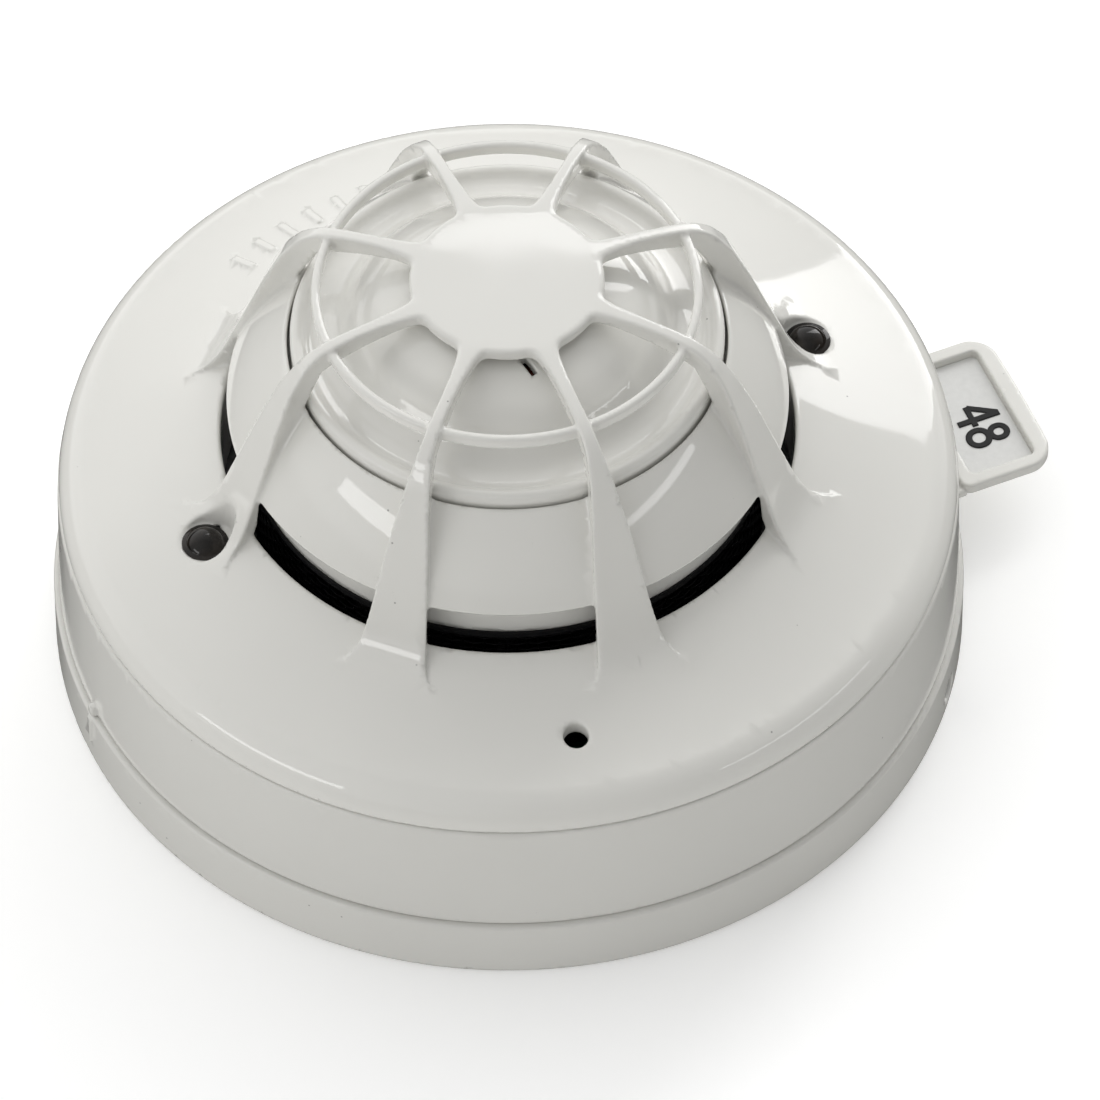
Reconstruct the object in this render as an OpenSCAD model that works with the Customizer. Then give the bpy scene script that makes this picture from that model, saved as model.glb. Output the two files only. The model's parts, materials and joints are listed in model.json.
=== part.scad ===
// Ceiling detector that senses smoke and heat, standing on the rear face of its mounting base.
// +Z leaves the ceiling. The origin is the centre of the base's rear face, where the cables come in.

/* [Mounting base] */
// Outer radius of the mounting base
base_r = 50; // [49.8:0.1:50.4]
// Height of the base rim
base_h = 7.8; // [7.6:0.1:7.8]
// Thickness of the base floor
floor_t = 2; // [1.8:0.1:2]
// Radius of the cable entry
cable_r = 12; // [9:0.5:14]
// Distance between the centres of the two fixing slots
slot_pitch = 60; // [58:1:62]
// Width of a fixing slot, which takes a 4 mm screw
slot_w = 4.4; // [4:0.1:5]
// Length of a fixing slot from end to end
slot_l = 13.4; // [10:0.2:14]

/* [Address card] */
// Direction in which the address card points
card_az = 22.5; // [22:0.5:23]
// Width of the address card
card_w = 19.4; // [19:0.1:19.6]
// Radius of the outer end of the card
card_end = 62.1; // [61:0.1:64]
// Height of the digits on the card
digit_h = 5; // [4:0.1:5.4]

/* [Detector head] */
// Outer radius of the case where it meets the base
case_r = 49.4; // [49.2:0.1:49.6]
// Height of the line where the top cover sits on the case
case_top = 23.3; // [23:0.1:23.6]
// Height of the top of the guard disc, the whole height of the detector
top_z = 57.5; // [57.3:0.1:58]
// Radius of the guard disc
disc_r = 10.5; // [9.5:0.1:11]
// Number of guard ribs
ribs = 8; // [8]
// Inner radius of the sloping ring of the cover, the outer edge of the smoke slot
slot_r = 31.2; // [31.1:0.1:31.4]
// Angle that the head turns to leave the base
twist_deg = 20; // [18:1:22]

/* [Hidden] */
$fn = 96;

// Clearances
gap = 0.3;            // between bodies that move past each other
fit = 0.05;           // round a screw or a pin that stays put
eps = 0.01;

// Mounting base
base_wall = 2.5;
base_in = base_r - base_wall;
rim_round = 0.8;
ledge_in = 45;        // inner radius of the three bayonet ledges
ledge_z = [5.6, 7.2];
ledge_az = [60, 180, 300];
ledge_half = 8;       // half the angle of a ledge or a lug
lock_az = -16;
lock_z = 2.6;
lock_r = 1.5;
term_az = [110, 150, 195, 235];
term_r = 33;
earth_az = 315;
earth_r = 30;
pad_top = 4;
clamp_t = 1;
term_head_h = 2;
spring_t = 0.5;
spring_w = 5;
spring_top = 9.4;

// Address card
card_z = 6;
card_t = 0.8;
plate_in = 50.6;
plate_top = 7.4;
plate_round = 3.1;
tray_floor = 6.3;
tray = [52.2, 60];
tray_half = 8;
label_t = 0.15;
digit_t = 0.1;
stroke = 0.75;
card_in = 30;
pip_r = 0.9;
pip_top = 7.7;

// Case
seat_z = base_h + gap;
case_top_r = 49;
case_wall = 2;
case_floor = [10.5, 12];
collar = [42.4, 44.4];
collar_z = 2.6;
lug_r = 47;
lug_z = [3.4, 5.2];
collar_cut = [-19.5, 40.5];
seal_r = [47.6, 48.4];
seal_t = 0.6;
blade_t = 0.7;
boss_az = [90, 210, 330];
boss_at = 39.5;
boss_r = 3;
screw_r = 1.2;
post_az = [45, 165, 285];
post_at = 36.5;

// Board and chamber
board_z = [15, 16.6];
board_r = 43;
base_plate = [17.6, 19.6];
base_plate_r = 33;
lab_top = [31.2, 32];
mesh_r = [27.6, 28.1];
optic_az = [120, 240];
optic_z = 25.5;
led_az = [22.5, -157.5];
led_at = 35.6;
lens_r = 2.15;
lens_top = 31;
probe_az = -73;
probe_r = 19.8;

// Chamber cap, in radius and height: the bell from its flat top to the bead
bell = [[9, 55.2], [12, 54.3], [14, 53.4], [16, 52.1], [17, 50.8], [18, 49.3], [19, 48.5], [20, 48.2],
        [21.6, 48.3]];
bead = [[22.2, 48.8], [22.8, 48.9], [23.3, 48.6], [23.45, 48.1]];
slit = [0.8, 2.4];
slit_az = -78;
slit_r = 10.3;
slit_turn = 114;
cap_t = 1.4;
cap_r = 28.5;
skirt_top = [24, 47.5];
lip = [30.7, 37.2];
bulge = 0.6;          // how far the skirt bows out between its ends
skirt_t = 1.4;
skirt_in = 23.75;

// Cover
slope_z = 32.5;       // height of the sloping ring at its inner edge
slope_end = 45.3;
cover_t = 2;
shoulder_r = 3.7;
sleeve_t = 1.5;
hoop = [20, 21.1];
hoop_z = [54, 55.6];
disc_t = 1.3;

// Rib seen from the side: the outer edge from the disc down to the sloping ring, then the inner edge back
rib_outer = [[9, 57.3], [13, 57.2], [16, 56.9], [19, 56.4], [21, 55.9], [22.5, 55.2], [24, 53.9],
             [25, 52.5], [26, 50.9], [27, 48.6], [29, 43.4], [31, 37.9], [32, 35.2], [33, 33.1],
             [34, 31.7], [35, 30.9], [36, 30.3]];
rib_inner = [[36, 29], [31.4, 31], [30.4, 33.5], [30.2, 36.5], [29.9, 37.4], [28.2, 40.8], [25, 45.3],
             [23.9, 47.4], [23.8, 48.4], [21.4, 53], [18.9, 54], [14, 55.3], [9, 56.3]];
// Half the width of a rib at each radius
rib_half = [[8, 3], [9.5, 2.1], [11, 1.4], [13, 0.98], [16, 0.72], [21, 0.76], [23, 0.85], [25, 1.2],
            [27, 1.8], [29, 2.5], [31, 3.1], [33, 3.75], [34, 4.2], [35, 4.8], [36, 5.6]];

// Points on an arc about c from angle a to angle b
function arc(c, r, a, b, n = 8) =
    [for (i = [0:n]) let (t = a + (b - a) * i / n) c + r * [cos(t), sin(t)]];
function rev(list) = [for (i = [len(list) - 1:-1:0]) list[i]];
// Centre, radius and angles of the bowed skirt
skirt_chord = norm(lip - skirt_top);
skirt_R = skirt_chord * skirt_chord / 8 / bulge + bulge / 2;
skirt_out = [skirt_top[1] - lip[1], lip[0] - skirt_top[0]] / skirt_chord;
skirt_c = (skirt_top + lip) / 2 - skirt_out * (skirt_R - bulge);
function skirt_at_r(depth, r) = acos((r - skirt_c[0]) / (skirt_R - depth));
function skirt_at_z(depth, z) = asin((z - skirt_c[1]) / (skirt_R - depth));
function skirt_arc(depth, a, b) = arc(skirt_c, skirt_R - depth, a, b);
// Height of the sloping ring at radius r
function slope(r) = slope_z - 0.486 * (r - slot_r) + 0.00975 * pow(r - slot_r, 2);

module tube(r_in, r_out, z0, z1) {
    translate([0, 0, z0]) difference() {
        cylinder(r = r_out, h = z1 - z0);
        translate([0, 0, -1]) cylinder(r = r_in, h = z1 - z0 + 2);
    }
}

// Piece of a ring between two azimuths
module sector(r_in, r_out, z0, z1, a0, a1) {
    steps = 6;
    far = r_out * 1.2;
    intersection() {
        tube(r_in, r_out, z0, z1);
        translate([0, 0, z0 - 1]) linear_extrude(z1 - z0 + 2)
            polygon(concat([[0, 0]], arc([0, 0], far, a0, a1, steps)));
    }
}

module at(az, r, z = 0) {
    rotate(az) translate([r, 0, z]) children();
}

// Post along Z between two heights
module post(r, z0, z1) {
    translate([0, 0, z0]) cylinder(r = r, h = z1 - z0, $fn = 48);
}

module block(x0, x1, half_y, z0, z1) {
    translate([x0, -half_y, z0]) cube([x1 - x0, 2 * half_y, z1 - z0]);
}

/* ---- mounting base ---- */

module mounting_base() {
    color("#e9e8e2") difference() {
        union() {
            rotate_extrude() polygon(concat(
                [[cable_r, 0], [base_r, 0]],
                arc([base_r - rim_round, base_h - rim_round], rim_round, 0, 90, 4),
                [[base_in, base_h], [base_in, floor_t], [cable_r, floor_t]]));
            tube(cable_r, cable_r + 1.5, floor_t - eps, floor_t + 1.5);
            for (a = ledge_az) bayonet_ledge(a);
            for (a = term_az) at(a, term_r) block(-4.5, 4.5, 5, floor_t - eps, pad_top);
            at(earth_az, earth_r) block(-4.5, 4.5, 4.5, floor_t - eps, pad_top);
            card_guide();
            at(lock_az, 0) block(ledge_in, base_in + 1, 2.8, floor_t - eps, lock_z + 2.8);
        }
        fixing_slots();
        card_notch();
        at(lock_az, ledge_in - 1, lock_z) rotate([0, 90, 0]) cylinder(r = lock_r + fit, h = 8, $fn = 48);
        for (a = term_az) at(a, term_r) post(1.3, floor_t + 0.4, pad_top + 1);
        at(earth_az, earth_r) post(1.3, floor_t + 0.4, pad_top + 1);
    }
}

// Ledge that holds a lug down, with the stop that the lug turns against
module bayonet_ledge(a) {
    sector(ledge_in, base_in + 1, ledge_z[0], ledge_z[1], a - ledge_half - 2.5, a + ledge_half);
    sector(ledge_in, base_in + 1, floor_t - eps, ledge_z[1], a - ledge_half - 2.5, a - ledge_half - 0.5);
}

module fixing_slots() {
    run = (slot_l - slot_w) / 2;
    for (s = [-1, 1]) translate([0, s * slot_pitch / 2, -1]) {
        for (t = [-1, 1]) translate([0, t * run, 0]) cylinder(d = slot_w, h = floor_t + 2, $fn = 48);
        translate([-slot_w / 2, -run, 0]) cube([slot_w, 2 * run, floor_t + 2]);
    }
}

// Rails that the card slides between, and the two ribs that it lies on
module card_guide() {
    half = card_w / 2 + gap;
    for (s = [-1, 1]) at(card_az, 0) {
        translate([card_in + 1, s * (half + 0.7) - 0.7, floor_t - eps]) cube([base_in - card_in, 1.4, 5.5]);
        translate([card_in + 1, s * (half - 0.3) - 0.7, card_z + card_t + gap])
            cube([base_in - card_in - 1.4, 1.4, 0.4]);
        translate([card_in + 1, s * (half - 1.5) - 1.5, floor_t - eps])
            cube([base_in - card_in, 3, card_z - gap - floor_t]);
    }
}

module card_notch() {
    at(card_az, 0) block(base_in - 1, base_r + 2, card_w / 2 + gap, card_z - gap, base_h + 1);
}

// Strip that lies on the terminal pad and rises to wipe on the head's blade
module base_contacts() {
    z = pad_top;
    color("#c9ccd0") for (a = term_az) at(a, term_r) difference() {
        translate([spring_w / 2, 0, 0]) rotate([90, 0, -90]) linear_extrude(spring_w)
            polygon([[3.8, z], [3.8, z + spring_t], [-4.6, z + spring_t], [-9.2, spring_top],
                     [-10.6, spring_top], [-12, spring_top - 2], [-11.5, spring_top - 2.3],
                     [-10.3, spring_top - 0.5], [-9.5, spring_top - 0.5], [-4.9, z]]);
        post(1.3, z - 1, z + 2);
    }
}

module terminal_clamps() {
    z = pad_top + spring_t;
    color("#c8b070") {
        for (a = term_az) at(a, term_r) difference() {
            block(-3, 3, 3.2, z, z + clamp_t);
            post(1.3, z - 1, z + 3);
        }
        at(earth_az, earth_r) difference() {
            block(-3, 3, 3.2, pad_top, pad_top + clamp_t);
            post(1.3, pad_top - 1, pad_top + 3);
        }
    }
}

// Slotted pan-head screw with its head's seat at z
module pan_screw(z, head_r, head_h, shank_r, length) {
    difference() {
        union() {
            post(head_r, z, z + head_h);
            post(shank_r, z - length, z + eps);
        }
        translate([-head_r - 1, -0.4, z + head_h * 0.5]) cube([2 * head_r + 2, 0.8, head_h]);
    }
}

module terminal_screws() {
    length = pad_top - floor_t + spring_t;
    seat = pad_top + spring_t + clamp_t;
    color("#b9bbbd") {
        for (a = term_az) at(a, term_r) rotate(25) pan_screw(seat, 2.6, term_head_h, 1.25, length);
        at(earth_az, earth_r) pan_screw(pad_top + clamp_t, 2.6, term_head_h, 1.25, length - spring_t);
    }
}

module locking_screw() {
    color("#8f9195") at(lock_az, ledge_in, lock_z) rotate([0, 90, 0]) difference() {
        cylinder(r = lock_r, h = 4.6, $fn = 48);
        translate([0, 0, 2.8]) cylinder(r = 0.85, h = 3, $fn = 6);
    }
}

/* ---- address card ---- */

module rounded_plate(x0, x1, half_y, r, z0, z1) {
    translate([0, 0, z0]) linear_extrude(z1 - z0) polygon(concat(
        [[x0, half_y], [x0, -half_y]],
        arc([x1 - r, r - half_y], r, -90, 0, 6),
        arc([x1 - r, half_y - r], r, 0, 90, 6)));
}

module address_card() {
    color("#e6e5df") at(card_az, 0) {
        difference() {
            rounded_plate(plate_in, card_end, card_w / 2, plate_round, card_z, plate_top);
            rounded_plate(tray[0], tray[1], tray_half, 1, tray_floor, plate_top + 1);
        }
        block(card_in, plate_in + eps, card_w / 2, card_z, card_z + card_t);
        for (i = [-3:3]) translate([38, 2.5 * i, 0]) post(pip_r, card_z + card_t - eps, pip_top);
    }
}

module card_label() {
    color("#dcdcda") at(card_az, 0)
        rounded_plate(tray[0] + 0.1, tray[1] - 0.1, tray_half - 0.1, 0.9, tray_floor, tray_floor + label_t);
}

// Bar from p to q, one stroke wide
module bar(p, q) {
    d = (q - p) / norm(q - p);
    n = [-d[1], d[0]] * stroke / 2;
    linear_extrude(digit_t) polygon([p - n, q - n, q + n, p + n]);
}

module ring(c, r) {
    translate([c[0], c[1], 0]) difference() {
        cylinder(r = r, h = digit_t, $fn = 48);
        translate([0, 0, -1]) cylinder(r = r - stroke, h = 2, $fn = 48);
    }
}

// The digits stand with their tops outwards
module address_number() {
    low = 54;
    top = low + digit_h;
    big = 0.273 * digit_h;
    small = 0.5 * digit_h - big + 0.12;
    color("#202020") at(card_az, 0, tray_floor + label_t) {
        union() {
            bar([low, -0.5], [top, -0.5]);
            bar([low + 1.8, 1.75], [low + 1.8, -1.4]);
            bar([low + 1.8, 1.4], [top - 0.3, -0.4]);
        }
        union() {
            ring([low + big, -3], big);
            ring([top - small - 0.24, -3], small + 0.24);
        }
    }
}

/* ---- case, cover and their fastenings ---- */

module detector_case() {
    wall_in = case_r - case_wall;
    color("#e9e8e2") difference() {
        union() {
            rotate_extrude() polygon([
                [0, case_floor[0]], [wall_in, case_floor[0]], [wall_in, seat_z], [case_r, seat_z],
                [case_top_r, case_top], [case_top_r - case_wall, case_top],
                [case_top_r - case_wall, case_floor[1]], [0, case_floor[1]]]);
            difference() {
                tube(collar[0], collar[1], collar_z, case_floor[0] + eps);
                collar_gap();
            }
            for (a = ledge_az)
                sector(collar[0] + 1, lug_r, lug_z[0], lug_z[1], a - ledge_half, a + ledge_half);
            for (a = post_az) at(a, post_at) post(2.6, case_floor[1] - eps, board_z[0]);
        }
        tube(seal_r[0], seal_r[1], case_top - seal_t, case_top + 1);
        for (a = post_az) at(a, post_at) post(0.9, case_floor[1] + 0.5, board_z[0] + 1);
        for (a = boss_az) at(a, boss_at) post(screw_r + fit, case_floor[0] - 1, case_floor[1] + 1);
        for (a = term_az) at(a + 24, term_r) post(1, case_floor[0] - 1, case_floor[1] + 1);
    }
}

// Room in the collar for the card and its rails, at rest and turned
module collar_gap() {
    sector(collar[0] - 1, collar[1] + 1, collar_z - 1, case_floor[0] + eps, collar_cut[0], collar_cut[1]);
}

module cover_seal() {
    color("#2c2c2c") tube(seal_r[0] + fit, seal_r[1] - fit, case_top - seal_t, case_top);
}

// Blades under the case floor that meet the base's springs
module detector_contacts() {
    color("#c9ccd0") for (a = term_az) difference() {
        sector(term_r - 3, term_r + 3, case_floor[0] - blade_t, case_floor[0], a + 8, a + 28);
        at(a + 24, term_r) post(1, case_floor[0] - 2, case_floor[0] + 1);
    }
}

module contact_rivets() {
    color("#b0863c") for (a = term_az) at(a + 24, term_r) {
        post(0.95, case_floor[0] - blade_t - eps, case_floor[1] + 0.3);
        post(1.8, case_floor[0] - blade_t - 0.5, case_floor[0] - blade_t);
        post(1.6, case_floor[1], case_floor[1] + 0.5);
    }
}

module case_screws() {
    color("#b9bbbd") for (a = boss_az) at(a, boss_at, case_floor[0]) rotate([180, 0, 0])
        pan_screw(0, 2.4, 1.2, screw_r, 9);
}

// Sloping ring with its shoulder, skin and inner sleeve
module cover_shell() {
    n = 8;
    step = (slope_end - slot_r) / n;
    upper = [for (i = [0:n]) [slot_r + i * step, slope(slot_r + i * step)]];
    lower = [for (i = [0:n]) [slot_r + sleeve_t + i * (step - 0.2), slope(slot_r + i * step) - cover_t]];
    inner_r = case_top_r - cover_t;
    rotate_extrude() polygon(concat(
        upper,
        arc([case_top_r - shoulder_r, slope(slope_end) - shoulder_r], shoulder_r, 75, 0, 6),
        [[case_top_r, case_top], [inner_r, case_top], [inner_r, slope(slope_end) - shoulder_r]],
        rev(lower),
        [[slot_r + sleeve_t, base_plate[1]], [slot_r, base_plate[1]]]));
}

// Bowed ring that the ribs carry above the smoke slot
module cover_skirt() {
    rotate_extrude() polygon(concat(
        [[skirt_in, skirt_top[1] + 0.15]],
        skirt_arc(0, skirt_at_r(0, skirt_top[0]), skirt_at_z(0, lip[1])),
        skirt_arc(skirt_t, skirt_at_z(skirt_t, lip[1]), skirt_at_r(skirt_t, skirt_in))));
}

// Rib from the disc to the sloping ring, as wide as rib_half says at each radius
module guard_rib() {
    wide = 8;
    intersection() {
        rotate([90, 0, 0]) translate([0, 0, -wide]) linear_extrude(2 * wide)
            polygon(concat(rib_outer, rib_inner));
        translate([0, 0, slope_end / 2]) linear_extrude(top_z)
            polygon(concat(rib_half, rev([for (p = rib_half) [p[0], -p[1]]])));
    }
}

module guard_hoop() {
    mid = (hoop[0] + hoop[1]) / 2;
    rotate_extrude() polygon([[hoop[0], hoop_z[0]], [hoop[1], hoop_z[0]], [hoop[1], hoop_z[1] - 0.5],
                              [mid + 0.3, hoop_z[1]], [mid - 0.3, hoop_z[1]], [hoop[0], hoop_z[1] - 0.5]]);
}

// Teardrop recess round an indicator, open towards the rib
module lens_recess() {
    reach = 5.2;
    depth = 1.1;
    translate([0, 0, slope(led_at) - depth]) {
        cylinder(r = lens_r + 0.5, h = 5, $fn = 48);
        linear_extrude(5)
            polygon([[0, lens_r + 0.5], [-reach + 1, 1], [-reach + 1, -1], [0, -lens_r - 0.5]]);
    }
}

// Row of raised marks moulded on the sloping ring
module moulded_marks() {
    at_r = 38.6;
    for (i = [0:7]) at(103 + 5 * i, at_r, slope(at_r)) rotate([0, 22, 0])
        translate([-1.6, -0.5, -0.6]) cube([3.2, 1, 0.85]);
}

module top_cover() {
    color("#edece6") difference() {
        union() {
            cover_shell();
            cover_skirt();
            translate([0, 0, top_z - disc_t]) cylinder(r = disc_r, h = disc_t);
            guard_hoop();
            for (i = [0:ribs - 1]) rotate((i + 0.5) * 360 / ribs) guard_rib();
            for (a = boss_az) at(a, boss_at) post(boss_r, case_floor[1], slope(boss_at) - cover_t / 2);
            moulded_marks();
        }
        for (a = boss_az) at(a, boss_at) post(screw_r + fit, case_floor[1] - 1, case_floor[1] + 10);
        for (a = led_az) at(a, led_at) {
            post(lens_r + 0.15, slope_z - 8, slope_z);
            lens_recess();
        }
        at(-80.4, 40.5) post(1.35, slope(40.5) - cover_t - 2, slope_z);
    }
}

/* ---- electronics ---- */

module circuit_board() {
    color("#2f6b45") difference() {
        translate([0, 0, board_z[0]]) cylinder(r = board_r, h = board_z[1] - board_z[0]);
        for (a = boss_az) at(a, boss_at) post(boss_r + 0.4, board_z[0] - 1, board_z[1] + 1);
        for (a = post_az) at(a, post_at) post(1.1, board_z[0] - 1, board_z[1] + 1);
    }
}

module board_screws() {
    color("#b9bbbd") for (a = post_az) at(a, post_at) pan_screw(board_z[1], 2, 1.2, 0.85, 4);
}

module microcontroller() {
    color("#26282a") at(60, 18) {
        block(-5, 5, 5, board_z[0] - 1.6, board_z[0] - 0.2);
        for (i = [-3:3], s = [-1, 1]) translate([1.27 * i, s * 5.4, 0])
            block(-0.2, 0.2, 0.5, board_z[0] - 0.7, board_z[0]);
    }
}

module capacitors() {
    color("#3a4a78") for (a = [70, 120, 250]) at(a, 38) post(2.5, board_z[1], board_z[1] + 6);
}

module small_components() {
    color("#6d5b45") {
        for (a = [126, 135, 144, 180, 189]) at(a, 38) block(-1.6, 1.6, 0.8, board_z[1], board_z[1] + 0.9);
        for (a = [-60, -48, -12, 0]) at(a, 39) block(-1, 1, 1.4, board_z[1], board_z[1] + 1.4);
        for (a = [100:20:260]) at(a, 26) block(-1.4, 1.4, 0.8, board_z[0] - 0.9, board_z[0]);
    }
}

// Folded metal lid over the receiver's amplifier, under the board
module screening_can() {
    color("#c2c4c6") at(-60, 20) difference() {
        block(-7, 7, 6, board_z[0] - 2.5, board_z[0]);
        block(-6.6, 6.6, 5.6, board_z[0] - 2.1, board_z[0] + 1);
    }
}

module indicator_leds() {
    color("#f0e8c0") for (a = led_az) at(a, led_at) block(-1, 1, 0.7, board_z[1], board_z[1] + 0.8);
}

// Light guide from the board to the dome that shows in the cover
module light_pipes() {
    color("#2a2826") for (a = led_az) at(a, led_at) rotate_extrude($fn = 48)
        polygon([[0, 17.8], [1.5, 17.8], [1.5, 26], [lens_r, 27], [lens_r, lens_top - 1.4],
                 [lens_r - 0.35, lens_top - 0.7], [lens_r - 1.1, lens_top - 0.15], [0, lens_top]]);
}

/* ---- smoke chamber ---- */

// Plate with the two optic housings and the holes for their legs
module chamber_base() {
    color("#1d1d1f") difference() {
        union() {
            translate([0, 0, base_plate[0]]) cylinder(r = base_plate_r, h = base_plate[1] - base_plate[0]);
            for (a = optic_az) at(a, 0) block(12, 20, 3.8, base_plate[1] - eps, optic_z + 4.2);
            for (a = [30, 150, 270]) at(a, 25) post(1.5, board_z[1], base_plate[0] + eps);
        }
        for (a = optic_az) at(a, 11, optic_z) rotate([0, 90, 0]) cylinder(r = 2.55, h = 10, $fn = 48);
        for (a = optic_az, s = [-1, 1]) at(a, 21) translate([0, 1.27 * s, 0])
            post(0.5, board_z[1], base_plate[1] + 1);
        at(probe_az, probe_r) post(1.1, board_z[1], base_plate[1] + 1);
    }
}

// Two legs from a part in its housing down to the board
module optic_legs() {
    for (s = [-1, 1]) translate([0, 1.27 * s, 0]) {
        translate([18.5, 0, optic_z]) rotate([0, 90, 0]) cylinder(r = 0.25, h = 2.75, $fn = 24);
        translate([21, 0, 0]) post(0.25, board_z[1], optic_z + 0.25);
    }
}

module ir_led() {
    color("#5a6f96") at(optic_az[0], 0) {
        translate([13.5, 0, optic_z]) rotate([0, 90, 0]) rotate_extrude($fn = 48)
            polygon(concat([[0, 5.2], [2.5, 5.2], [2.5, 1.9]], arc([0, 1.9], 2.4, 0, -90, 5)));
        optic_legs();
    }
}

module photodiode() {
    color("#1f2430") at(optic_az[1], 0) {
        translate([14, -1.7, optic_z - 1.7]) cube([4.7, 3.4, 3.4]);
        translate([13, 0, optic_z]) rotate([0, 90, 0]) cylinder(r = 1.6, h = 1.2, $fn = 48);
        optic_legs();
    }
}

// Bent vanes that let air through and stop light, under their top plate
module labyrinth() {
    vanes = 20;
    z0 = base_plate[1];
    color("#1d1d1f") difference() {
        union() {
            translate([0, 0, lab_top[0]]) cylinder(r = cap_r, h = lab_top[1] - lab_top[0]);
            translate([0, 0, z0]) linear_extrude(lab_top[0] - z0 + eps)
                for (i = [0:vanes - 1]) rotate(i * 360 / vanes)
                    polygon([[22, -1.5], [24.3, 1.4], [26.6, -1.5], [26.6, -0.1], [24.3, 2.8], [22, -0.1]]);
            at(probe_az, probe_r) post(1.7, z0, lab_top[1]);
        }
        at(probe_az, probe_r) post(1.1, z0 - 1, lab_top[1] + 1);
    }
}

module insect_mesh() {
    color("#303234") tube(mesh_r[0], mesh_r[1], base_plate[1], lab_top[0]);
}

// Bell with its bead, running under the skirt to the rim that stands on the labyrinth
module chamber_cap() {
    under = skirt_t + gap;
    inside = under + cap_t;
    in_r = cap_r - cap_t;
    neck = bead[3][0];
    color("#ebeae4") difference() {
        rotate_extrude() polygon(concat(
            [[0, bell[0][1]]], bell, bead,
            skirt_arc(under, skirt_at_r(under, neck), skirt_at_r(under, cap_r)),
            [[cap_r, lab_top[1]], [in_r, lab_top[1]]],
            skirt_arc(inside, skirt_at_r(inside, in_r), skirt_at_r(inside, neck - cap_t)),
            [[neck - cap_t, 46.6]],
            [for (p = rev(bell)) if (p[0] < 21) [p[0] - 0.2, p[1] - cap_t]],
            [[0, bell[0][1] - cap_t]]));
        at(slit_az, slit_r, bell[0][1] - 3) rotate(slit_turn) translate([-slit[0] / 2, -slit[1] / 2, 0])
            cube([slit[0], slit[1], 6]);
    }
}

module thermistor() {
    color("#7a2f1d") at(probe_az, 8, 51.5) rotate([0, 90, 0]) cylinder(r = 1.1, h = 2.4, $fn = 48);
}

// Pair of wires from the board, up beside the chamber and in to the thermistor
module thermistor_leads() {
    knee = [probe_r, 43];
    tip = [10.4, 51.5];
    run = tip - knee;
    color("#c9a15a") for (s = [-1, 1]) at(probe_az, 0) translate([0, 0.5 * s, 0]) {
        at(0, knee[0]) post(0.25, board_z[1], knee[1]);
        translate([knee[0], 0, knee[1]]) sphere(r = 0.25, $fn = 24);
        translate([knee[0], 0, knee[1]]) rotate([0, atan2(run[0], run[1]), 0])
            cylinder(r = 0.25, h = norm(run), $fn = 24);
    }
}

mounting_base();
base_contacts();
terminal_clamps();
terminal_screws();
locking_screw();
address_card();
card_label();
address_number();
detector_case();
detector_contacts();
contact_rivets();
case_screws();
cover_seal();
circuit_board();
board_screws();
microcontroller();
capacitors();
small_components();
screening_can();
indicator_leds();
light_pipes();
chamber_base();
ir_led();
photodiode();
labyrinth();
insect_mesh();
chamber_cap();
thermistor();
thermistor_leads();
top_cover();
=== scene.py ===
"""Looks of a ceiling detector that senses smoke and heat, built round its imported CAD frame.

The white mouldings are described as distance fields, in millimetres, and then meshed, so that ribs, hoop,
ring and rims run into each other with the small fillets of a moulded part. A field takes an array of points
and gives each one's distance to the surface, which is negative inside the plastic.
"""
import json
import math

import bmesh
import bpy
import numpy as np
import openvdb
from mathutils import Matrix, Vector


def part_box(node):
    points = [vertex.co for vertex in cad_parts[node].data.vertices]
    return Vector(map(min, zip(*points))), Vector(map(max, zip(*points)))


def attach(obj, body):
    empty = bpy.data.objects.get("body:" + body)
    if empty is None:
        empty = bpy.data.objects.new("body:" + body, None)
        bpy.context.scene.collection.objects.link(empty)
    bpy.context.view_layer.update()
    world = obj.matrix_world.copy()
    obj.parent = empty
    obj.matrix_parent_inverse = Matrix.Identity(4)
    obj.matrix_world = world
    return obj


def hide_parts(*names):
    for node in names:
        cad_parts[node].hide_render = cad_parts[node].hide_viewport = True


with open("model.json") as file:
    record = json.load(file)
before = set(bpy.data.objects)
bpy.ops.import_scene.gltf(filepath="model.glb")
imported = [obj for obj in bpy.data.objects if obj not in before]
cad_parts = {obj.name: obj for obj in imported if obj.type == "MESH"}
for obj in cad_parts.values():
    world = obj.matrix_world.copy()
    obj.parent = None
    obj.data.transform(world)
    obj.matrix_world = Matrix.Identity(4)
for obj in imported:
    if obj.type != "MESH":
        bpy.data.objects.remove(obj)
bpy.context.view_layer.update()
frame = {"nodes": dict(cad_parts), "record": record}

MM = 0.001
CARD_AZ = 22.5
LENS_AZ = (22.5, -157.5)
PROBE_AZ = -73
SLIT_AZ = -78
SLIT_R = 10.3
SLIT_TURN = 114
LEDGE_AZ = (60, 180, 300)
TERMINAL_AZ = (110, 150, 195, 235)
EARTH_AZ = 315
TERMINAL_AT = 33
EARTH_AT = 30
BOSS_AZ = (90, 210, 330)
BOSS_AT = 39.5
POST_AZ = (45, 165, 285)
POST_AT = 36.5
LOCK_AZ = -16
RIBS = 8


def box_mm(node):
    """Lowest and highest corner of a CAD node, in millimetres."""
    low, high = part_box(node)
    return np.array(low) / MM, np.array(high) / MM


BASE_R = box_mm("mounting_base")[1][1]
BASE_H = box_mm("mounting_base")[1][2]
CASE_R = box_mm("detector_case")[1][1]
CASE_TOP = box_mm("detector_case")[1][2]
COVER_R = box_mm("top_cover")[1][1]

# ---------------------------------------------------------------- distance fields


def smooth_min(a, b, k):
    """Union of two fields with a fillet about k wide."""
    h = np.maximum(k - np.abs(a - b), 0) / k
    return np.minimum(a, b) - h * h * k / 4


def smooth_max(a, b, k):
    """Intersection of two fields with its edge rounded over about k."""
    return -smooth_min(-a, -b, k)


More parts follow.
